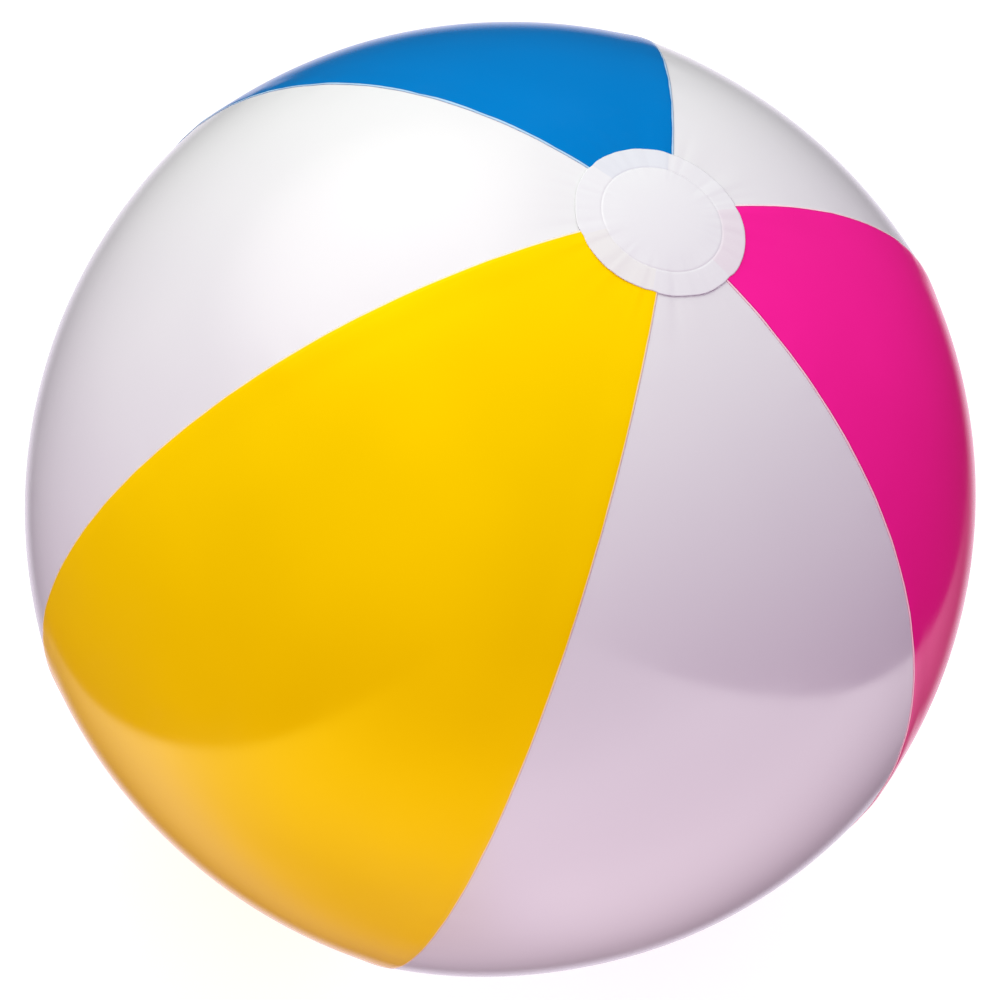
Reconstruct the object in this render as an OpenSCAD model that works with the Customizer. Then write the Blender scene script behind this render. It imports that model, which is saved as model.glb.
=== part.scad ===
// Inflatable beach ball: six film panels welded edge to edge, an end disc at each pole, a pop-in valve.
// The origin is the ball's centre and +Z is its pole axis, through the two end discs.
// The yellow panel faces -Y. The valve is in the white panel that faces +Y, below the equator.

/* [Ball] */
// Radius of the ball at the equator, at the middle of a panel
belly_r = 197; // [150:1:260]
// Radius of the arc that the middle of a panel follows from pole to pole
meridian_r = 203; // [200:1:262]
// Distance of a panel's own turning axis behind the pole axis, which flattens the panel between its seams
flat_shift = 20; // [0:1:40]
// Thickness of the film
film_t = 0.25; // [0.2:0.05:0.5]

/* [Seams] */
// Width of the doubled edge on each side of a seam, where a coloured panel laps over a white one
lap_w = 2; // [1:0.5:5]
// Radius at which the panel tips stop, under the end discs
tip_r = 24; // [15:1:30]

/* [End discs] */
// Radius of an end disc
disc_r = 33.5; // [32:0.5:60]
// Thickness of an end disc
disc_t = 0.3; // [0.2:0.05:0.6]

/* [Valve] */
// Angle of the valve below the equator
valve_drop = 45; // [20:1:60]
// Radius of the hole in the film
film_hole_r = 10; // [9.5:0.5:12]
// Outer radius of the flange that is welded under the film
flange_r = 17; // [14:0.5:22]
// Inner radius of the flange, where the folding web starts
flange_hole_r = 9; // [8.8:0.1:9.4]
// Thickness of the flange and of the web
flange_t = 0.6; // [0.4:0.1:1]
// Outer radius of the stem
stem_r = 5; // [4.8:0.1:5.4]
// Radius of the stem's bore
bore_r = 3.5; // [2.5:0.1:3.8]
// Length of the stem
stem_len = 16; // [14:0.5:22]
// Height of the stem's mouth above the film when it is pushed in
mouth_z = 0.5; // [0:0.1:1]
// Radius of the collar round the stem's mouth
collar_r = 6; // [5.8:0.1:6.2]
// Height of the collar
collar_h = 1.2; // [1:0.1:2]

/* [Plug] */
// Radius of the plug's head
head_r = 6.2; // [6:0.1:6.4]
// Thickness of the plug's head
head_h = 1.8; // [1.6:0.1:2.4]
// Length of the plug's shank inside the bore
shank_len = 7; // [4:0.5:9]
// Reach of the thumb lip from the plug's centre
lip_reach = 8.4; // [7:0.1:8.6]
// Width of the thumb lip
lip_w = 4; // [3:0.5:5]
// Width of the strap that ties the plug to the stem
strap_w = 3; // [2:0.5:4]
// Thickness of the strap
strap_t = 0.8; // [0.6:0.1:1]

/* [Check flap] */
// Radius of the flap that closes the stem's inner end
flap_r = 4.6; // [4:0.1:4.8]
// Thickness of the flap
flap_t = 0.5; // [0.3:0.1:0.8]
// Radius of the rolled edge that the flap turns on
knuckle_r = 0.4; // [0.3:0.05:0.5]

/* [Hidden] */
$fn = 200;

PANELS = 6;
panel_deg = 360 / PANELS;
half_deg = panel_deg / 2;
// Directions of the panels' middles, counted from +X
magenta_deg = half_deg;
back_deg = magenta_deg + panel_deg;
blue_deg = back_deg + panel_deg;
left_deg = blue_deg + panel_deg;
yellow_deg = left_deg + panel_deg;
right_deg = yellow_deg + panel_deg;

// The meridian arc's centre lies this far behind the pole axis, which makes the ball a little long
arc_shift = meridian_r - belly_r;
// Running clearance of the plug in the bore, and the gap between pieces that only rest on each other
fit_gap = 0.05;
// A size that passes the whole ball
past = 2 * meridian_r;
// How far a panel is swept past its seams before it is trimmed to them
sweep_deg = panel_deg + 20;
// The part of the tip radius at which a panel's arc starts, inside the cut that ends the panel
arc_start = 0.7;

// Distance from the pole axis, at a seam, turned into distance along the middle of a panel
function mid_reach(r) = sqrt(flat_shift ^ 2 + r ^ 2 + 2 * r * flat_shift * cos(half_deg)) - flat_shift;
// Height of the film's inner face over a point of the panel's middle line
function film_z(reach) = sqrt(meridian_r ^ 2 - (reach + arc_shift) ^ 2);
// Height of the end disc's underside at a radius, clear of the doubled seams
function disc_z(r) = film_z(mid_reach(r)) + 2 * film_t + fit_gap;

// The end disc is a cap of a sphere through its rim and the ring where the panel tips stop
cap_z = (disc_z(tip_r) ^ 2 - disc_z(disc_r) ^ 2 + tip_r ^ 2 - disc_r ^ 2) / (2 * (disc_z(tip_r) - disc_z(disc_r)));
cap_r = sqrt((disc_z(tip_r) - cap_z) ^ 2 + tip_r ^ 2);

// Heights in the valve's own frame, whose +Z leaves the ball and whose zero is the film's inner face
stem_end_z = mouth_z - stem_len;
web_z = mouth_z - stem_len / 2;
// The flange follows a slightly smaller sphere than the film, so that it lies just under it
flange_gap = 0.07;
flange_edge_z = sqrt((meridian_r - flange_gap) ^ 2 - flange_hole_r ^ 2) - meridian_r;
// Length over which the plug's shank tapers, and the radius that its tip loses
taper_len = 1.2;
taper_in = 0.5;
head_z = mouth_z + fit_gap;
lip_t = head_h / 2;
strap_low_z = mouth_z - collar_h / 2;
strap_high_z = head_z + head_h / 2;
strap_turn_r = (strap_high_z - strap_low_z) / 2;
strap_turn_y = 7.2;
knuckle_y = -(flap_r + 2 * knuckle_r);
knuckle_z = stem_end_z - fit_gap - knuckle_r;
knuckle_len = 4;

// Half the ball's section, between two distances outside the film's inner face
module arc_section(inner, outer) {
    intersection() {
        translate([flat_shift - arc_shift, 0])
            difference() {
                circle(r = meridian_r + outer);
                circle(r = meridian_r + inner);
            }
        translate([flat_shift + arc_start * tip_r, -past])
            square([past, 2 * past]);
    }
}

// A band of film swept about a panel's own axis, wider than the panel; deg is the panel's middle
module film_band(deg, inner, outer) {
    rotate([0, 0, deg])
        translate([-flat_shift, 0, 0])
            rotate_extrude(angle = sweep_deg, start = -sweep_deg / 2)
                arc_section(inner, outer);
}

// The space between the two seams of a panel whose middle is over +X
module panel_sector() {
    linear_extrude(height = 2 * past, center = true)
        polygon([[0, 0], past * [cos(half_deg), -sin(half_deg)], past * [2, 0], past * [cos(half_deg), sin(half_deg)]]);
}

// A slab along a seam, on one side of it
module seam_slab(deg, side) {
    rotate([0, 0, deg])
        translate([0, side < 0 ? -lap_w : 0, -past])
            cube([past, lap_w, 2 * past]);
}

// A column on the pole axis that cuts off the panel tips
module tip_cut() {
    cylinder(r = tip_r, h = 2 * past, center = true);
}

// One thickness of film, from seam to seam, with its middle over +X
module film_gore() {
    intersection() {
        film_band(0, 0, film_t);
        panel_sector();
    }
}

// The edge of a coloured panel: doubled inside its seam, then over the neighbour's film
module lapped_edge(side) {
    intersection() {
        film_band(0, 0, 2 * film_t);
        seam_slab(side * half_deg, -side);
    }
    intersection() {
        film_band(side * panel_deg, film_t, 2 * film_t);
        seam_slab(side * half_deg, side);
    }
}

module white_panel(deg) {
    rotate([0, 0, deg])
        difference() {
            film_gore();
            tip_cut();
        }
}

module coloured_panel(deg) {
    rotate([0, 0, deg])
        difference() {
            union() {
                film_gore();
                lapped_edge(1);
                lapped_edge(-1);
            }
            tip_cut();
        }
}

// Puts a piece of the valve in its place, square to the film
module at_valve() {
    translate([0, -arc_shift, 0])
        rotate([-90 - valve_drop, 0, 0])
            translate([0, 0, meridian_r])
                children();
}

module yellow_panel() {
    color("gold") coloured_panel(yellow_deg);
}

module magenta_panel() {
    color("deeppink") coloured_panel(magenta_deg);
}

module blue_panel() {
    color("dodgerblue") coloured_panel(blue_deg);
}

module white_panel_right() {
    color("white") white_panel(right_deg);
}

module white_panel_left() {
    color("white") white_panel(left_deg);
}

module white_panel_back() {
    color("white")
        difference() {
            white_panel(back_deg);
            at_valve()
                cylinder(r = film_hole_r, h = film_hole_r, center = true);
        }
}

module end_disc() {
    intersection() {
        translate([0, 0, cap_z])
            difference() {
                sphere(r = cap_r + disc_t);
                sphere(r = cap_r);
            }
        cylinder(r = disc_r, h = past);
    }
}

module top_end_disc() {
    color("ghostwhite") end_disc();
}

module bottom_end_disc() {
    color("ghostwhite") mirror([0, 0, 1]) end_disc();
}

// A ring with the film's own curve, welded to the film's inner face round the hole
module valve_flange() {
    color("whitesmoke")
        at_valve()
            intersection() {
                translate([0, 0, -meridian_r])
                    difference() {
                        sphere(r = meridian_r - flange_gap);
                        sphere(r = meridian_r - flange_gap - flange_t);
                    }
                translate([0, 0, -flange_hole_r])
                    difference() {
                        cylinder(r = flange_r, h = 2 * flange_hole_r);
                        cylinder(r = flange_hole_r, h = 2 * flange_hole_r);
                    }
            }
}

// The thin cone that folds through itself when the stem is pulled out
module valve_web() {
    outer_r = flange_hole_r - fit_gap;
    inner_r = stem_r + fit_gap;
    color("whitesmoke")
        at_valve()
            rotate_extrude()
                polygon([
                    [outer_r, flange_edge_z], [outer_r, flange_edge_z - flange_t],
                    [inner_r, web_z - flange_t], [inner_r, web_z + flange_t]
                ]);
}

module valve_stem() {
    color("whitesmoke")
        at_valve()
            rotate_extrude()
                polygon([
                    [bore_r, stem_end_z], [stem_r, stem_end_z], [stem_r, mouth_z - collar_h],
                    [collar_r, mouth_z - collar_h], [collar_r, mouth_z], [bore_r, mouth_z]
                ]);
}

// A flat band that leaves the collar, turns back and meets the side of the plug's head
module plug_strap() {
    color("whitesmoke")
        at_valve()
            translate([0, -strap_turn_y, (strap_low_z + strap_high_z) / 2])
                rotate([0, 90, 0])
                    union() {
                        rotate_extrude(angle = 180, start = 180)
                            translate([strap_turn_r - strap_t / 2, -strap_w / 2])
                                square([strap_t, strap_w]);
                        for (side = [-1, 1], end_y = [side > 0 ? collar_r : head_r])
                            translate([side * strap_turn_r - strap_t / 2, 0, -strap_w / 2])
                                cube([strap_t, strap_turn_y - end_y - fit_gap, strap_w]);
                    }
}

module valve_plug() {
    shank_r = bore_r - fit_gap;
    shank_end_z = head_z - shank_len;
    color("whitesmoke")
        at_valve()
            union() {
                rotate_extrude()
                    polygon([
                        [0, shank_end_z], [shank_r - taper_in, shank_end_z], [shank_r, shank_end_z + taper_len],
                        [shank_r, head_z], [head_r, head_z], [head_r, head_z + head_h], [0, head_z + head_h]
                    ]);
                translate([-lip_w / 2, 0, head_z + head_h - lip_t])
                    cube([lip_w, lip_reach - lip_w / 2, lip_t]);
                translate([0, lip_reach - lip_w / 2, head_z + head_h - lip_t])
                    cylinder(d = lip_w, h = lip_t);
            }
}

// A round flap on the stem's inner end, which breath lifts and the air inside presses shut
module check_flap() {
    color("whitesmoke")
        at_valve()
            union() {
                translate([0, 0, knuckle_z - flap_t / 2])
                    cylinder(r = flap_r, h = flap_t);
                translate([-knuckle_len / 2, knuckle_y, knuckle_z - flap_t / 2])
                    cube([knuckle_len, -knuckle_y, flap_t]);
                translate([-knuckle_len / 2, knuckle_y, knuckle_z])
                    rotate([0, 90, 0])
                        cylinder(r = knuckle_r, h = knuckle_len);
            }
}

yellow_panel();
magenta_panel();
blue_panel();
white_panel_right();
white_panel_back();
white_panel_left();
top_end_disc();
bottom_end_disc();
valve_flange();
valve_web();
valve_stem();
plug_strap();
valve_plug();
check_flap();
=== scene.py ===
# %% [markdown]
# # An inflatable beach ball
# Six leaf-shaped panels of thin PVC film are welded edge to edge, a round disc of milky film covers the
# panel tips at each pole, and a soft valve is set in one white panel.
# The CAD model is the frame: it says where every piece is. Here each film piece is made again with its
# seams, welds and puckers, and gets its finish.

# %% Load the frame
import math

import bmesh
import bpy
from mathutils import Matrix, Vector, noise


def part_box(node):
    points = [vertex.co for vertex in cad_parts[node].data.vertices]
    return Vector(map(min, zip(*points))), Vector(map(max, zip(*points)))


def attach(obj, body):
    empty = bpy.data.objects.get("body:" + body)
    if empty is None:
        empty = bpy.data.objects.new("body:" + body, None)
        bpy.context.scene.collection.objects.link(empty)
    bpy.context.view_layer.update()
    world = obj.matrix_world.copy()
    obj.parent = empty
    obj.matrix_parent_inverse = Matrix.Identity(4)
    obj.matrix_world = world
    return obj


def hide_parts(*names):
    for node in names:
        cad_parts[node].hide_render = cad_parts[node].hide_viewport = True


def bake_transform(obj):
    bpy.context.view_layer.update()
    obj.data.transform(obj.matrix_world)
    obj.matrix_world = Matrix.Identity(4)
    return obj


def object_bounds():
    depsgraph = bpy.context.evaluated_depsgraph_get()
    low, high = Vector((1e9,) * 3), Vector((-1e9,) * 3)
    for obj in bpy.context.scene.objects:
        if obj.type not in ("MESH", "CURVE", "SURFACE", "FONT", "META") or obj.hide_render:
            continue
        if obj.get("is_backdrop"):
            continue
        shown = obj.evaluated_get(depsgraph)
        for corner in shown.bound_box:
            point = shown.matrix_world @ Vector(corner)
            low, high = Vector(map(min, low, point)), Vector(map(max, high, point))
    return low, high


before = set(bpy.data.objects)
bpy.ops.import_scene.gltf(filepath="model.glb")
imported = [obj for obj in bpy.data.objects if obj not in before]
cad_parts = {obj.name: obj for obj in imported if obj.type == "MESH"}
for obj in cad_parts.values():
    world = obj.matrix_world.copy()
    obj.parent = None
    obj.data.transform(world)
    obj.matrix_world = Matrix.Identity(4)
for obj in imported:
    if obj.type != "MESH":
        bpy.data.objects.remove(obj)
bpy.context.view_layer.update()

# %% [markdown]
# ## Sizes
# Blender works in metres. The belly and the discs are measured on the frame, so that they can't drift away
# from it. The film's thickness, the laps and the panel's own curve are the maker's figures.

# %% Sizes of the film parts
MM = 0.001
FILM = 0.25 * MM
LAP = 2.0 * MM
TIP_R = 24 * MM
MERIDIAN_R = 203 * MM
FLAT_SHIFT = 20 * MM
PANEL_TURN = math.radians(60)
HALF_TURN = PANEL_TURN / 2

belly_r = -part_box("yellow_panel")[0].y - FILM
arc_shift = MERIDIAN_R - belly_r
disc_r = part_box("top_end_disc")[1].x
print(f"belly radius {belly_r / MM:.1f} mm, end disc radius {disc_r / MM:.1f} mm")

# %% [markdown]
# ## The shape of an inflated panel
# Blown up, a flat leaf of film becomes a patch that is round from pole to pole and flatter from seam to
# seam, so the ball is slightly six-sided and the seams stand out as low ridges. A turned arc gives that
# shape exactly: its turning axis lies behind the pole axis. The inset is the distance from a seam.


# %% Points of the panel surface
def panel_half_width(turn, lift):
    """Half the width of a panel at an angle above the equator, measured square to its seams."""
    return ((MERIDIAN_R + lift) * math.cos(turn) - arc_shift) * math.sin(HALF_TURN)


def panel_point(inset, turn, lift):
    """A point of the panel over +X, inset from its seam on the +Y side. A negative inset is past the seam."""
    radius = MERIDIAN_R + lift
    reach = FLAT_SHIFT + radius * math.cos(turn) - arc_shift
    swing = HALF_TURN - math.asin((abs(inset) + FLAT_SHIFT * math.sin(HALF_TURN)) / reach)
    point = Vector((reach * math.cos(swing) - FLAT_SHIFT, reach * math.sin(swing), radius * math.sin(turn)))
    if inset < 0:
        across = Vector((math.sin(HALF_TURN), -math.cos(HALF_TURN), 0))
        point -= 2 * point.dot(across) * across
    return point


def film_height(x, y):
    """Height of the film's inner face above a point of the equator's plane."""
    across = math.hypot(x, y)
    turned = (math.atan2(y, x) % PANEL_TURN) - HALF_TURN
    reach = math.hypot(across * math.cos(turned) + FLAT_SHIFT, across * math.sin(turned)) - FLAT_SHIFT
    return math.sqrt(MERIDIAN_R ** 2 - (reach + arc_shift) ** 2)


print(f"seam radius {panel_point(0, 0, 0).to_2d().length / MM:.1f} mm, pole {film_height(0, 0) / MM:.1f} mm")

# %% [markdown]
# ## Puckers
# Welding shrinks the film a little, so it puckers across each seam and round each disc, and the rest of the
# skin is never quite smooth. One function gives the wave at any place on the ball, so that neighbouring
# pieces stay in touch. The puckers round a disc are noise read along a circle, so they close up.

# %% The waves of the skin
SEAM_PUCKER = 0.17 * MM
SEAM_PUCKER_LONG = 11 * MM
SEAM_PUCKER_REACH = 8 * MM
DISC_PUCKER = 0.25 * MM
DISC_PUCKER_REACH = 16 * MM
DISC_NOISE_R = 12
SKIN_WAVE = 0.35 * MM
SKIN_WAVE_LONG = 75 * MM
SEAM_SEED = 7.3
DISC_SEED = 1.24


def seam_position(point):
    """Which seam is nearest, how far away it is, and how far along it the point lies."""
    across = math.hypot(point.x, point.y)
    angle = math.atan2(point.y, point.x)
    seam = round(angle / PANEL_TURN)
    away = across * abs(math.sin(angle - seam * PANEL_TURN))
    along = MERIDIAN_R * math.atan2(point.z, across)
    return seam % 6, away, along


def skin_wave(point):
    """How far the film stands out of its plain shape."""
    seam, away, along = seam_position(point)
    across = math.hypot(point.x, point.y)
    pucker_place = Vector((along / SEAM_PUCKER_LONG, away / (3 * SEAM_PUCKER_REACH), SEAM_SEED * seam))
    pucker = noise.noise(pucker_place)
    wave = SEAM_PUCKER * pucker * math.exp(-(away / SEAM_PUCKER_REACH) ** 2)
    to_circle = DISC_NOISE_R / (across + MM)
    ring = noise.noise(Vector((to_circle * point.x, to_circle * point.y, DISC_SEED)))
    wave += DISC_PUCKER * ring * math.exp(-((across - disc_r) / DISC_PUCKER_REACH) ** 2)
    wave += SKIN_WAVE * noise.noise(point / SKIN_WAVE_LONG)
    return wave


def step(low, high, value):
    """0 below low, 1 above high, and a smooth rise between them. Low may be the larger."""
    share = min(1.0, max(0.0, (value - low) / (high - low)))
    return share * share * (3 - 2 * share)


# %% [markdown]
# ## Node arithmetic
# A material is easier to read as sums than as a web of wires. A Wire is one output of a node, and its
# operators add the Math nodes.


# %% Wires
class Wire:
    """An output socket that does arithmetic."""

    def __init__(self, tree, socket):
        self.tree = tree
        self.socket = socket

    def node(self, kind, inputs, output=0, **settings):
        """Adds any other node: its settings first, then the values or links of its sockets."""
        made = self.tree.nodes.new(kind)
        for name, value in settings.items():
            setattr(made, name, value)
        for key, value in inputs.items():
            if isinstance(value, Wire):
                self.tree.links.new(value.socket, made.inputs[key])
            else:
                made.inputs[key].default_value = value
        return Wire(self.tree, made.outputs[output])

    def math(self, operation, *values):
        return self.node("ShaderNodeMath", dict(enumerate(values)), operation=operation)

    def __add__(self, other):
        return self.math("ADD", self, other)

    def __sub__(self, other):
        return self.math("SUBTRACT", self, other)

    def __mul__(self, other):
        return self.math("MULTIPLY", self, other)

    def __rsub__(self, other):
        return self.math("SUBTRACT", other, self)

    __radd__ = __add__
    __rmul__ = __mul__

    def least(self, other):
        return self.math("MINIMUM", self, other)

    def rise(self, low, high):
        """0 below low, 1 above high, smooth between them."""
        inputs = {"Value": self, "From Min": low, "From Max": high}
        return self.node("ShaderNodeMapRange", inputs, interpolation_type="SMOOTHSTEP")

    def noise(self, size, detail=2.0, output=0):
        """Noise with features of about this size, in metres, when the wire is a place."""
        inputs = {"Vector": self, "Scale": 1 / size, "Detail": detail}
        return self.node("ShaderNodeTexNoise", inputs, output=output)

    def tint(self, under, over):
        """The wire as a mask: colour under where it is 0, over where it is 1."""
        return self.node("ShaderNodeMix", {0: self, 6: under, 7: over}, output=2, data_type="RGBA")


def new_material(name):
    """A material with one Principled shader: gives it, the shader and the place on the object as a Wire."""
    made = bpy.data.materials.new(name)
    made.use_nodes = True
    tree = made.node_tree
    shader = tree.nodes["Principled BSDF"]
    place = Wire(tree, tree.nodes.new("ShaderNodeTexCoord").outputs["Object"])
    return made, shader, place


def flat_place(place):
    """How far along X and along Y a place lies."""
    return [place.node("ShaderNodeSeparateXYZ", {0: place}, output=axis) for axis in (0, 1)]


def plug_in(shader, **wires):
    """Links wires to the shader's sockets; an underscore in a name stands for a space."""
    for name, wire in wires.items():
        wire.tree.links.new(wire.socket, shader.inputs[name.replace("_", " ")])


# %% [markdown]
# ## The film's finish
# Calendered PVC film is glossy, with a faint orange peel that roughens its reflections, a haze of fine
# handling marks, and slow changes of tone where it was stretched more or less. The ink of a coloured panel
# stops short of the cut edge, so each seam shows a narrow pale strip. Beside it, on the printed side, a fine
# darker line is painted shade for the seam's crease, and a white panel has a fine grey line of painted shadow
# where that lapped edge stands on it. All of it follows the distance from the seams. The coloured inks lie
# under the gloss and are see-through, so a steep reflection is tinted by them. The yellow and the magenta ink
# are given a little red emission, a painted glow that makes them brighter.

# %% Film materials
FILM_IOR = 1.5
WHITE_COAT = 0.12
GLOSS_ROUGH = 0.10
HAZE = 28 * MM
HAZE_ROUGH = 0.06
MARKS = 4 * MM
MARKS_ROUGH = 0.03
ORANGE_PEEL = 1.3 * MM
DIMPLES = 9 * MM
PEEL_DEEP = 0.03 * MM
INK_CLOUDS = 95 * MM
INK_DEEPER = 0.93
INK_FADE = 0.15 * MM
# The width of the fine darker line of painted shade along a coloured panel's seam.
SEAM_SHADE_WIDE = 0.45 * MM
EDGE_WANDER = 14 * MM
MILK_CLOUDS = 110 * MM
WHITE_TONE = (0.88, 0.88, 0.88, 1)
WHITE_SHADE = (0.85, 0.845, 0.855, 1)
# The tone of the fine painted shadow that a lapped coloured edge casts on a white panel.
LAP_SHADOW_TONE = (0.68, 0.64, 0.69, 1)
UNTINTED = (1, 1, 1)


def seam_inset(place, middle):
    """Distance inside the nearer of a panel's two seams; middle is the panel's direction."""
    x, y = flat_place(place)
    ahead = middle + HALF_TURN
    behind = middle - HALF_TURN
    return (x * math.sin(ahead) - y * math.cos(ahead)).least(y * math.cos(behind) - x * math.sin(behind))


def film_gloss(shader, place, sheen=UNTINTED, coat=WHITE_COAT):
    """What every film piece shares: gloss, haze and orange peel. The sheen tints the steep reflections."""
    shader.inputs["IOR"].default_value = FILM_IOR
    shader.inputs["Specular IOR Level"].default_value = 1.0
    shader.inputs["Specular Tint"].default_value = (*sheen, 1)
    shader.inputs["Coat Roughness"].default_value = 0.03
    shader.inputs["Coat IOR"].default_value = FILM_IOR
    shader.inputs["Coat Weight"].default_value = coat
    haze = place.noise(HAZE, 3.0).rise(0.35, 0.8)
    marks = place.noise(MARKS, 4.0).rise(0.5, 0.75)
    plug_in(shader, Roughness=GLOSS_ROUGH + HAZE_ROUGH * haze + MARKS_ROUGH * marks)
    peel = place.noise(ORANGE_PEEL, 2.0) + 0.6 * place.noise(DIMPLES, 1.0)
    bump = {"Strength": 0.35, "Distance": PEEL_DEEP, "Height": peel}
    plug_in(shader, Normal=place.node("ShaderNodeBump", bump))


def coloured_film(name, ink, middle):
    """Printed film with a painted glow: a fine darker line of painted crease shade ends the print near the
    seam, and a pale strip lies beyond it.
    """
    made, shader, place = new_material(name)
    film_gloss(shader, place, ink["sheen"], coat=0.0)
    # Painted glow: a little red emission makes the ink brighter than its light alone would.
    shader.inputs["Emission Color"].default_value = (*ink["painted_glow"], 1)
    shader.inputs["Emission Strength"].default_value = 1.0
    deep = tuple(INK_DEEPER * c for c in ink["colour"])
    seam_shade_colour = tuple(ink["seam_shade_tone"] * c for c in ink["colour"])
    print_tone = place.noise(INK_CLOUDS, 2.0).rise(0.3, 0.75).tint((*deep, 1), (*ink["colour"], 1))
    wander = (place.noise(EDGE_WANDER, 2.0) - 0.5) * ink["edge_wander"]
    to_edge = seam_inset(place, middle) + LAP + wander
    # Painted shade: a fine darker line where the print meets the pale strip stands for the shadow in the
    # seam's crease.
    shade_from = ink["edge_wide"] + SEAM_SHADE_WIDE
    line = to_edge.rise(shade_from + INK_FADE, shade_from - INK_FADE)
    strip = to_edge.rise(ink["edge_wide"] + INK_FADE, ink["edge_wide"] - INK_FADE)
    plug_in(shader, Base_Color=strip.tint(line.tint(print_tone, (*seam_shade_colour, 1)), (*ink["edge_tone"], 1)))
    return made


def white_film(name, middle):
    made, shader, place = new_material(name)
    film_gloss(shader, place)
    milk = place.noise(MILK_CLOUDS, 2.0).rise(0.3, 0.75).tint(WHITE_SHADE, WHITE_TONE)
    past_lap = seam_inset(place, middle) - LAP
    # A fine line of painted shadow, cast by the lapped edge on the white film.
    line = past_lap.rise(0.4 * MM, 0.1 * MM)
    plug_in(shader, Base_Color=line.tint(milk, LAP_SHADOW_TONE))
    return made


def direction(index):
    """The direction of a panel's middle: they stand 60 degrees apart, the first 30 degrees from +X."""
    return HALF_TURN + index * PANEL_TURN


# Per ink: the print colour, the tint of its steep reflections, a painted glow, how dark its painted seam
# shade is, the pale strip's tone, width and wander, and how much of it shows through a disc.
INKS = {
    "magenta_film": {
        "colour": (0.87, 0.017, 0.37), "sheen": (1.0, 0.1, 0.5), "painted_glow": (0.19, 0.0, 0.0),
        "seam_shade_tone": 0.62, "edge_tone": (0.92, 0.80, 0.88), "edge_wide": 0.55 * MM,
        "edge_wander": 0.5 * MM, "shows_through": 0.075,
    },
    "blue_film": {
        "colour": (0.0, 0.208, 0.60), "sheen": (0.0, 0.5, 1.0), "painted_glow": (0.0, 0.0, 0.0),
        "seam_shade_tone": 0.78, "edge_tone": (0.50, 0.73, 0.92), "edge_wide": 0.8 * MM,
        "edge_wander": 1.2 * MM, "shows_through": 0.085,
    },
    "yellow_film": {
        "colour": (0.99, 0.775, 0.0), "sheen": (1.0, 0.85, 0.0), "painted_glow": (0.134, 0.0, 0.0),
        "seam_shade_tone": 0.94, "edge_tone": (0.96, 0.90, 0.60), "edge_wide": 0.5 * MM,
        "edge_wander": 0.5 * MM, "shows_through": 0.045,
    },
}
PANELS = {
    "magenta_panel": (0, "magenta_film"),
    "white_panel_back": (1, "white_film"),
    "blue_panel": (2, "blue_film"),
    "white_panel_left": (3, "white_film"),
    "yellow_panel": (4, "yellow_film"),
    "white_panel_right": (5, "white_film"),
}

# %% [markdown]
# ## The panels
# Each panel starts as a flat grid, as the real one starts as a flat leaf, and is laid on the inflated shape.
# Its columns crowd towards the seams, where the lap and the puckers need them. A coloured panel has extra
# columns past its seams: they lie over the white film, one thickness higher.

# %% Build a panel
HALF_COLUMNS = 26
LAP_COLUMNS = 4
ROWS = 300
CROWDING = 2.0
LAP_RISE = 12 * MM
LAP_GAP = 0.02 * MM


def panel_mesh(index, lapped):
    """The outer face of one panel, as a bmesh in its place on the ball."""
    bm = bmesh.new()
    half = HALF_COLUMNS + (LAP_COLUMNS if lapped else 0)
    bmesh.ops.create_grid(bm, x_segments=2 * half, y_segments=ROWS, size=1.0)
    seam_at = HALF_COLUMNS / half
    tip_turn = math.acos((TIP_R + arc_shift) / MERIDIAN_R)
    spin = Matrix.Rotation(direction(index), 3, "Z")
    for vert in bm.verts:
        sheet_x, sheet_y = vert.co.x, vert.co.y
        turn = tip_turn * sheet_y
        if abs(sheet_x) <= seam_at + 1e-6:
            inward = max(0.0, 1 - abs(sheet_x) / seam_at)
            inset = panel_half_width(turn, FILM) * inward ** CROWDING
        else:
            inset = -LAP * (abs(sheet_x) - seam_at) / (1 - seam_at)
        lift = FILM
        if lapped:
            lift += FILM * step(LAP_RISE, LAP, inset) + LAP_GAP
        point = panel_point(inset, turn, lift)
        if sheet_x < 0:
            point.y = -point.y
        point = spin @ point
        vert.co = point + point.normalized() * skin_wave(point)
    return bm


def finish_piece(name, bm, material, body, node):
    """Turns a bmesh into a piece that rides on a body and stands for a CAD node."""
    mesh = bpy.data.meshes.new(name)
    bm.to_mesh(mesh)
    bm.free()
    mesh.shade_smooth()
    mesh.materials.append(material)
    piece = bpy.data.objects.new(name, mesh)
    bpy.context.scene.collection.objects.link(piece)
    if body:
        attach(piece, body)
    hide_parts(node)
    return piece


def give_thickness(piece, thickness):
    """A wall, grown inwards from the outer face."""
    wall = piece.modifiers.new("wall", "SOLIDIFY")
    wall.thickness = thickness
    wall.offset = -1
    return wall


# %% [markdown]
# ## Where the valve is
# The valve sits 45 degrees below the equator in the back white panel. Its own frame has +Z out of the ball
# and its zero on the film's inner face.

# %% The valve's frame
VALVE_DROP = math.radians(45)
FILM_HOLE_R = 10 * MM
FLANGE_R = 17 * MM
FLANGE_STEP = 0.18 * MM
FLANGE_STEP_WIDE = 0.4 * MM
HOLE_PUCKER = 0.12 * MM
HOLE_NOISE_R = 9
to_valve = (
    Matrix.Translation((0, -arc_shift, 0))
    @ Matrix.Rotation(-math.pi / 2 - VALVE_DROP, 4, "X")
    @ Matrix.Translation((0, 0, MERIDIAN_R))
)
from_valve = to_valve.inverted()


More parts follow.
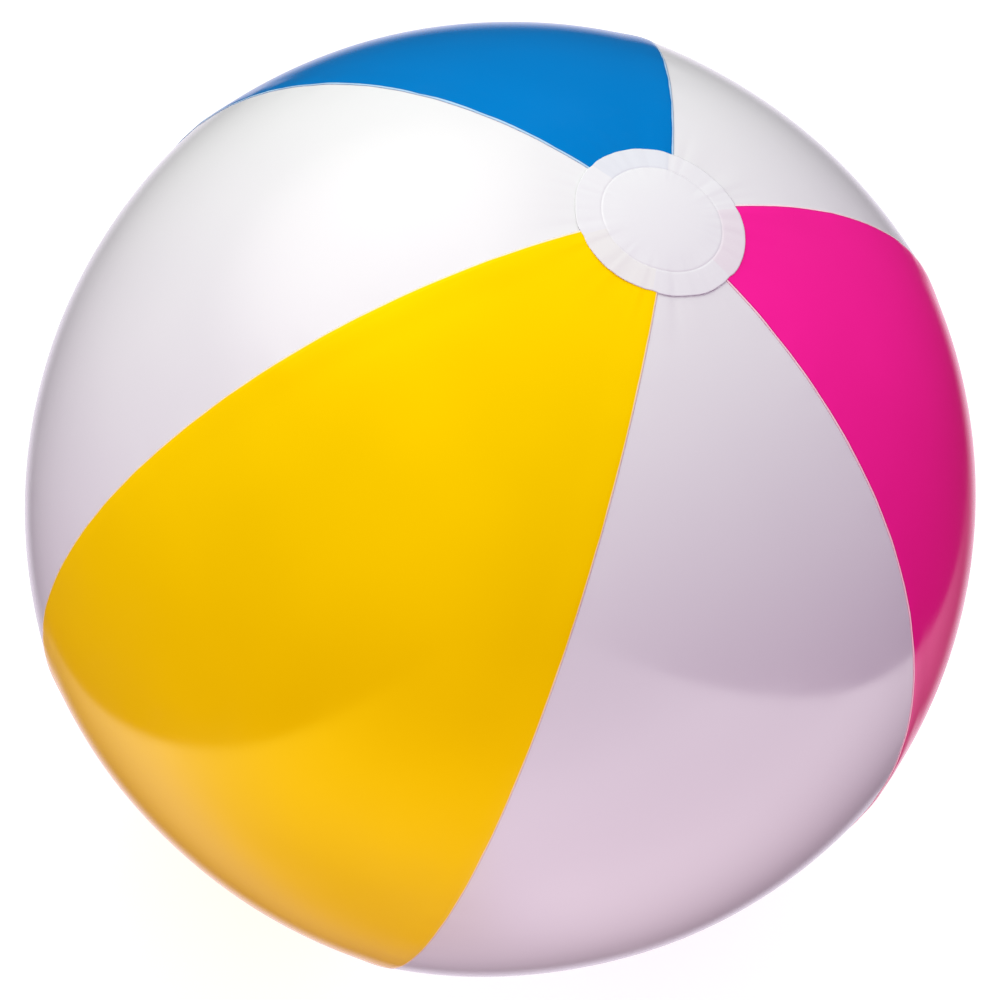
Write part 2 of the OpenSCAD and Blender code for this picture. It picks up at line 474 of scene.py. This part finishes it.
def open_valve_hole(bm):
    """Refines the film round the valve, cuts the hole and presses the weld ring into the film."""
    near = [e for e in bm.edges if (from_valve @ e.verts[0].co).length < 1.5 * FLANGE_R]
    bmesh.ops.subdivide_edges(bm, edges=near, cuts=3, use_grid_fill=True)
    middle = {f: from_valve @ f.calc_center_median() for f in bm.faces}
    inside = [f for f, c in middle.items() if abs(c.z) < FILM_HOLE_R and c.to_2d().length < FILM_HOLE_R]
    bmesh.ops.delete(bm, geom=inside, context="FACES")
    for vert in bm.verts:
        local = from_valve @ vert.co
        away = local.to_2d().length
        if abs(local.z) > FILM_HOLE_R or away > 2 * FLANGE_R:
            continue
        if any(edge.is_boundary for edge in vert.link_edges):
            local.xy = local.xy.normalized() * FILM_HOLE_R
        pucker = HOLE_PUCKER * noise.noise(local.normalized() * HOLE_NOISE_R)
        local.z += FLANGE_STEP * step(FLANGE_R + FLANGE_STEP_WIDE, FLANGE_R - FLANGE_STEP_WIDE, away)
        local.z += pucker * step(FILM_HOLE_R, FLANGE_R, away) * step(2 * FLANGE_R, FLANGE_R, away)
        vert.co = to_valve @ local
    print(f"valve hole: {len(inside)} faces cut out")


# %% Make the six panels
for node, (index, slot) in PANELS.items():
    outer = panel_mesh(index, lapped=slot in INKS)
    if node == "white_panel_back":
        open_valve_hole(outer)
    if slot in INKS:
        finish = coloured_film(node + "_finish", INKS[slot], direction(index))
    else:
        finish = white_film(node + "_finish", direction(index))
    panel = finish_piece(node + "_film", outer, finish, "ball", node)
    give_thickness(panel, FILM)
    print(node, len(panel.data.polygons), "faces")

# %% [markdown]
# ## The end discs
# The disc is welded on in a ring, from the panel tips to its rim, and its middle is free. The film's colours
# show faintly through the welded ring only. The rim is cut by hand tools: it wanders, and dips over each
# seam.

# %% End disc finish and shape
DISC_FILM = 0.3 * MM
WELD_IN = 23.8 * MM
GROOVE = 0.15 * MM
GROOVE_WIDE = 0.38 * MM
RIM_WANDER = 0.45 * MM
RIM_NOISE_R = 2.5
RIM_SEED = 4
SEAM_NOTCH = 0.4 * MM
SEAM_NOTCH_WIDE = 2.2 * MM
DISC_MILK = (0.87, 0.87, 0.885, 1)
DISC_STEPS = 216
DISC_RINGS = (
    0, 3, 6, 9, 12, 15, 17.5, 19.5, 21, 22.2, 22.8, 23.1, 23.35, 23.55, 23.7, 23.8, 23.9, 24.05, 24.25, 24.5,
    24.9, 25.5, 26.4, 27.6, 29, 30.5, 31.8, 32.6, 33.1, 33.5,
)


def disc_film(name):
    made, shader, place = new_material(name)
    film_gloss(shader, place)
    x, y = flat_place(place)
    square = x * x + y * y
    across = square.math("SQRT", square)
    seen = DISC_MILK
    for index, slot in PANELS.values():
        if slot in INKS:
            ink = INKS[slot]
            tint = tuple(m + ink["shows_through"] * (c - m) for m, c in zip(DISC_MILK, ink["colour"]))
            inside = seam_inset(place, direction(index)).rise(-0.2 * MM, 0.3 * MM)
            seen = inside.tint(seen, (*tint, 1))
    welded = across.rise(WELD_IN - 0.3 * MM, WELD_IN + 0.3 * MM)
    plug_in(shader, Base_Color=welded.tint(DISC_MILK, seen))
    return made


def spun_mesh(profile, steps, closed=False):
    """A profile of (radius, height) in mm, spun about Z. Closed joins its last point to its first."""
    bm = bmesh.new()
    dots = [bm.verts.new((r * MM, 0, h * MM)) for r, h in profile]
    following = dots[1:] + dots[:1] if closed else dots[1:]
    rows = [bm.edges.new(pair) for pair in zip(dots, following)]
    turn = {"cent": (0, 0, 0), "axis": (0, 0, 1), "angle": 2 * math.pi, "steps": steps}
    bmesh.ops.spin(bm, geom=dots + rows, use_merge=True, **turn)
    bmesh.ops.remove_doubles(bm, verts=bm.verts, dist=0.001 * MM)
    return bm


def disc_mesh(low):
    """One end disc's outer face; low makes the bottom one."""
    bm = spun_mesh([(r, 0) for r in DISC_RINGS], DISC_STEPS)
    crown = film_height(TIP_R, 0) - film_height(0, 0)
    for vert in bm.verts:
        across = vert.co.to_2d().length
        angle = math.atan2(vert.co.y, vert.co.x)
        rim = step(WELD_IN, disc_r, across)
        on_circle = Vector((RIM_NOISE_R * math.cos(angle), RIM_NOISE_R * math.sin(angle), RIM_SEED + low))
        wander = RIM_WANDER * noise.noise(on_circle)
        off_seam = math.remainder(angle, PANEL_TURN) * disc_r
        notch = SEAM_NOTCH * math.exp(-(off_seam / SEAM_NOTCH_WIDE) ** 2)
        shrink = 1 + rim * (wander - notch) / disc_r
        x, y = vert.co.x * shrink, vert.co.y * shrink
        on_film = film_height(x, y)
        round_top = film_height(TIP_R, 0) - crown * (1 - (across / TIP_R) ** 2)
        height = on_film + (round_top - on_film) * step(TIP_R, 0.6 * TIP_R, across)
        height += 2 * FILM + DISC_FILM
        height -= GROOVE * math.exp(-((across - WELD_IN) / GROOVE_WIDE) ** 2)
        vert.co = Vector((x, y, height))
        vert.co.z += skin_wave(vert.co) * step(0.5 * TIP_R, TIP_R, across)
    if low:
        bmesh.ops.scale(bm, vec=(1, 1, -1), verts=bm.verts)
    bmesh.ops.recalc_face_normals(bm, faces=bm.faces)
    up = sum(f.normal.z for f in bm.faces)
    if (up > 0) == bool(low):
        bmesh.ops.reverse_faces(bm, faces=bm.faces)
    return bm


for low, node in enumerate(("top_end_disc", "bottom_end_disc")):
    finish = disc_film(node + "_finish")
    disc = finish_piece(node + "_film", disc_mesh(low), finish, "ball", node)
    give_thickness(disc, DISC_FILM)
    print(node, len(disc.data.polygons), "faces")

# %% [markdown]
# ## The valve
# The valve is one soft, milky PVC moulding with its plug on a strap. Turned shapes come from a profile spun
# about the valve's axis. The web is the fold that turns inside out when the stem is pulled out, and the strap
# runs between the stem and the plug.

# %% Valve finish and turned shapes
VALVE_STEPS = 72
SHARP_TURN = math.radians(35)


def soft_moulding(name):
    made, shader, place = new_material(name)
    shader.inputs["IOR"].default_value = FILM_IOR
    shader.inputs["Subsurface Weight"].default_value = 0.15
    shader.inputs["Subsurface Radius"].default_value = (2 * MM, 2 * MM, 2.2 * MM)
    cloud = place.noise(5 * MM, 2.0).rise(0.3, 0.7)
    plug_in(shader, Base_Color=cloud.tint((0.74, 0.76, 0.78, 1), (0.84, 0.85, 0.86, 1)))
    plug_in(shader, Roughness=0.24 + 0.12 * place.noise(2 * MM, 3.0))
    bump = {"Strength": 0.3, "Distance": 0.02 * MM, "Height": place.noise(0.8 * MM, 2.0)}
    plug_in(shader, Normal=place.node("ShaderNodeBump", bump))
    return made


moulding = soft_moulding("valve_moulding_finish")


def round_edges(bm, edges, size):
    """Bevels edges into small round ones; size is in mm."""
    shape = {"segments": 3, "profile": 0.5, "affect": "EDGES", "material": -1, "clamp_overlap": True}
    bmesh.ops.bevel(bm, geom=edges, offset=size * MM, **shape)


def round_corners(bm, size):
    sharp = [e for e in bm.edges if len(e.link_faces) == 2 and e.calc_face_angle() > SHARP_TURN]
    round_edges(bm, sharp, size)


def turned_mesh(profile, rounding):
    """A closed profile spun about the valve's axis, its corners rounded."""
    bm = spun_mesh(profile, VALVE_STEPS, closed=True)
    loose = [f for f in bm.faces if f.calc_area() < 1e-12]
    bmesh.ops.delete(bm, geom=loose, context="FACES_ONLY")
    bmesh.ops.recalc_face_normals(bm, faces=bm.faces)
    if rounding:
        round_corners(bm, rounding)
    return bm


def valve_piece(name, bm, body, node):
    """Moves a bmesh from the valve's frame to its place on the ball and makes it a piece of the moulding."""
    bmesh.ops.transform(bm, matrix=to_valve, verts=bm.verts)
    bmesh.ops.recalc_face_normals(bm, faces=bm.faces)
    return finish_piece(name, bm, moulding, body, node)


# %% Stem, web and plug
LIP_SIZE = (4 * MM, 3.6 * MM, 0.8 * MM)
LIP_PLACE = (0, 6.6 * MM, 1.75 * MM)
STEM_PROFILE = [
    (3.5, -15.5), (5.0, -15.5), (5.0, -8.3), (5.5, -7.9), (5.5, -7.1), (5.0, -6.7), (5.0, -0.7),
    (6.0, -0.7), (6.0, 0.5), (3.5, 0.5),
]
WEB_PROFILE = [
    (9.0, -0.3), (8.6, -1.2), (8.35, -2.6), (8.1, -4.2), (7.6, -5.8), (6.7, -6.9), (5.45, -7.2),
    (5.45, -7.8), (6.9, -7.6), (8.1, -6.4), (8.7, -4.4), (8.95, -2.6), (9.3, -0.9),
]
PLUG_PROFILE = [
    (0, -6.4), (2.9, -6.4), (3.45, -5.2), (3.45, 0.55), (6.2, 0.55), (6.2, 1.3), (5.6, 2.35),
    (4.2, 2.35), (3.6, 1.9), (0, 1.9),
]

stem = valve_piece("valve_stem_tube", turned_mesh(STEM_PROFILE, 0.2), "stem", "valve_stem")
web = valve_piece("valve_folding_web", turned_mesh(WEB_PROFILE, 0), None, "valve_web")
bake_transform(web)


def plug_mesh():
    """The turned plug with its thumb lip, a rounded tongue drawn out of the rim of its head."""
    bm = turned_mesh(PLUG_PROFILE, 0.18)
    lip = bmesh.ops.create_cube(bm, size=1.0)["verts"]
    bmesh.ops.scale(bm, vec=LIP_SIZE, verts=lip)
    bmesh.ops.translate(bm, vec=LIP_PLACE, verts=lip)
    round_edges(bm, list({e for v in lip for e in v.link_edges}), 0.35)
    return bm


plug = valve_piece("valve_plug_cap", plug_mesh(), "plug", "valve_plug")
print("stem, web and plug:", [len(p.data.polygons) for p in (stem, web, plug)], "faces")


# %% Strap
STRAP_WIDE = 3.0 * MM
STRAP_THICK = 0.8 * MM
STRAP_START = -6.0 * MM
STRAP_BEND = -7.2 * MM
BEND_R = 0.78 * MM
BEND_HEIGHT = 0.68 * MM
BEND_STEPS = 12


def strap_mesh():
    """A flat band bent through half a turn between the collar and the plug's head."""
    bm = bmesh.new()
    path = [(STRAP_START, BEND_HEIGHT - BEND_R), (STRAP_BEND, BEND_HEIGHT - BEND_R)]
    for angle in (math.pi * k / BEND_STEPS for k in range(1, BEND_STEPS)):
        path.append((STRAP_BEND - BEND_R * math.sin(angle), BEND_HEIGHT - BEND_R * math.cos(angle)))
    path += [(STRAP_BEND, BEND_HEIGHT + BEND_R), (STRAP_START - 0.2 * MM, BEND_HEIGHT + BEND_R)]
    dots = [bm.verts.new((-STRAP_WIDE / 2, y, z)) for y, z in path]
    rows = [bm.edges.new(pair) for pair in zip(dots, dots[1:])]
    wide = bmesh.ops.extrude_edge_only(bm, edges=rows)["geom"]
    far_side = [g for g in wide if isinstance(g, bmesh.types.BMVert)]
    bmesh.ops.translate(bm, vec=(STRAP_WIDE, 0, 0), verts=far_side)
    bmesh.ops.recalc_face_normals(bm, faces=bm.faces)
    bmesh.ops.solidify(bm, geom=list(bm.faces), thickness=STRAP_THICK)
    round_corners(bm, 0.15)
    return bm


strap = valve_piece("plug_strap_band", strap_mesh(), None, "plug_strap")
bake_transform(strap)
for name in ("valve_flange", "check_flap"):
    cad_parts[name].data.materials.clear()
    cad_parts[name].data.materials.append(moulding)
print("strap:", len(strap.data.polygons), "faces")

# %% [markdown]
# ## Camera
# The camera looks down on the ball from the front and is rolled, so that the pole leans to the right. All
# lights are placed in the camera's own directions: right, up and towards it.

# %% Camera
VIEW_AZIMUTH = math.radians(12.2)
VIEW_ELEVATION = math.radians(53.4)
VIEW_ROLL = math.radians(30.0)
VIEW_DISTANCE = 1.3776
LENS = 118.05

towards = Vector((
    math.sin(VIEW_AZIMUTH) * math.cos(VIEW_ELEVATION),
    -math.cos(VIEW_AZIMUTH) * math.cos(VIEW_ELEVATION),
    math.sin(VIEW_ELEVATION),
))
level_right = Vector((math.cos(VIEW_AZIMUTH), math.sin(VIEW_AZIMUTH), 0))
level_up = towards.cross(level_right)
view_up = level_up * math.cos(VIEW_ROLL) - level_right * math.sin(VIEW_ROLL)
view_right = level_right * math.cos(VIEW_ROLL) + level_up * math.sin(VIEW_ROLL)


def view_direction(right, up, near):
    """A direction given as the camera sees it."""
    return (view_right * right + view_up * up + towards * near).normalized()


def facing(back, up):
    """The turn that points an object's -Z away from back, with +Y towards up."""
    side = up.cross(back).normalized()
    return Matrix((side, back.cross(side), back)).transposed().to_4x4()


camera = bpy.data.objects.new("camera", bpy.data.cameras.new("camera"))
bpy.context.scene.collection.objects.link(camera)
camera.data.lens = LENS
camera.matrix_world = Matrix.Translation(towards * VIEW_DISTANCE) @ facing(towards, view_up)
bpy.context.scene.camera = camera

# %% [markdown]
# ## Floor and light
# A plain pale floor, and soft studio light. The world plays three parts. What lights the film is a smooth
# tent: brighter above, dimmer at both sides and low on the left and right, with a broad glow from the upper
# left, a small one from the upper right, and two from the table below.
# What the gloss shows is a dark room with a soft lamp at the upper left and a strip of pale paper under the
# ball, whose two straight sides make the bright crescents low on the panels. The strip is yellowed where the
# yellow panel lights it, and shaded where the ball stands. The room is paler behind the camera and far behind
# the ball, where the rims reflect it. The camera sees plain white behind the ball.

# %% Floor
FLOOR_R = 6.0
FLOOR_TONE = (0.35, 0.35, 0.35, 1)
FLOOR_GLOW = 0.8


def make_floor():
    bm = bmesh.new()
    bmesh.ops.create_circle(bm, cap_ends=True, segments=96, radius=FLOOR_R)
    bmesh.ops.translate(bm, vec=(0, 0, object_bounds()[0].z), verts=bm.verts)
    mesh = bpy.data.meshes.new("floor")
    bm.to_mesh(mesh)
    bm.free()
    made = bpy.data.objects.new("floor", mesh)
    bpy.context.scene.collection.objects.link(made)
    material = bpy.data.materials.new("pale_floor")
    material.use_nodes = True
    shader = material.node_tree.nodes["Principled BSDF"]
    shader.inputs["Base Color"].default_value = FLOOR_TONE
    shader.inputs["Roughness"].default_value = 0.9
    shader.inputs["Specular IOR Level"].default_value = 0.0
    shader.inputs["Emission Color"].default_value = (1, 1, 1, 1)
    shader.inputs["Emission Strength"].default_value = FLOOR_GLOW
    mesh.materials.append(material)
    made.visible_glossy = False
    made.visible_diffuse = False
    return made


make_floor()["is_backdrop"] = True

# %% Studio light
TENT_MEAN = (0.765, 0.628, 0.745)
TENT_RISE = (0.22, 0.38, 0.28)
TABLE_GLOW = (0.14, 0.28, 0.13)
TABLE_SPOT = (1.35, 1.40, 1.22)
KEY_GLOW = (0.84, 0.95, 0.76)
SIDE_LOSS = (-0.51, -0.45, -0.44)
LOW_RIGHT_LOSS = (-0.22, -0.34, -0.25)
LOW_LEFT_LOSS = (-0.28, -0.50, -0.24)
TENT_UP = view_direction(0, 0.93, 0.37)
RIGHT_SIDE = view_direction(0.5, 0.8, 0.3)
RIGHT_GLOW = (0.20, 0.16, 0.21)
SPOT_SIDE = view_direction(-0.38, -0.75, -0.52)
STRIP_RIGHT = view_direction(-0.63, -0.93, -0.37)
STRIP_LEFT = view_direction(0.87, -0.93, -0.37)
STRIP_SEEN = (1.72, 1.62, 1.62, 1)
KEY_SIDE = view_direction(-0.45, 0.80, 0.38)
KEY_SEEN = (1.2, 1.17, 1.1, 1)
YELLOWED_STRIP = (1.72, 1.50, 0.40, 1)
ROOM_SEEN = (0.02, 0.018, 0.02, 1)
FAR_SEEN = (0.82, 0.76, 0.87, 1)
FRONT_SEEN = (0.19, 0.18, 0.19, 1)

world = bpy.data.worlds.new("studio")
bpy.context.scene.world = world
world.use_nodes = True
world.cycles.sampling_method = "NONE"
sky = world.node_tree
outlook = Wire(sky, sky.nodes.new("ShaderNodeTexCoord").outputs["Generated"])


def along(direction):
    """How far the world's direction points the given way, from -1 to 1."""
    return outlook.node("ShaderNodeVectorMath", {0: outlook, 1: direction}, output=1, operation="DOT_PRODUCT")


def ray_kind(name):
    return Wire(sky, sky.nodes.new("ShaderNodeLightPath").outputs[name])


up = along(TENT_UP)
side = along(view_right)
below = along(-view_up)
lights = (
    (up, TENT_RISE),
    (up.rise(-0.25, -1.0), TABLE_GLOW),
    (along(SPOT_SIDE).rise(0.5, 1.0), TABLE_SPOT),
    (along(KEY_SIDE).rise(0.3, 1.0), KEY_GLOW),
    (along(RIGHT_SIDE).rise(0.4, 1.0), RIGHT_GLOW),
    (side * side, SIDE_LOSS),
    (side.rise(0.0, 0.9) * below.rise(-0.3, 0.4), LOW_RIGHT_LOSS),
    (side.rise(0.0, -0.8) * below.rise(-0.3, 0.4), LOW_LEFT_LOSS),
)
tent = TENT_MEAN
for amount, gain in lights:
    tent = outlook.node("ShaderNodeVectorMath", {0: amount, 1: gain, 2: tent}, operation="MULTIPLY_ADD")
near = along(towards)
strip = along(STRIP_RIGHT).rise(0.0, 0.03) * along(STRIP_LEFT).rise(0.0, 0.03)
strip = strip * near.rise(-1.0, -0.25) * near.rise(0.9, 0.2)
contact_shadow = 0.6 * below.rise(0.45, 0.8) * near.rise(0.1, -0.5) * side.rise(0.2, -0.15)
strip = strip * (1.0 - contact_shadow)
key = along(KEY_SIDE).rise(0.78, 1.0)
room = near.rise(0.4, 1.0).tint(ROOM_SEEN, FRONT_SEEN)
room = near.rise(-0.88, -0.975).tint(room, FAR_SEEN)
paper = (below.rise(0.5, 0.85) * side.rise(0.1, -0.2)).tint(STRIP_SEEN, YELLOWED_STRIP)
room = key.tint(strip.tint(room, paper), KEY_SEEN)
background = ray_kind("Is Glossy Ray").tint(tent, room)
background = ray_kind("Is Camera Ray").tint(background, (1, 1, 1, 1))
sky.links.new(background.socket, sky.nodes["Background"].inputs["Color"])

bpy.context.scene.view_settings.view_transform = "Standard"
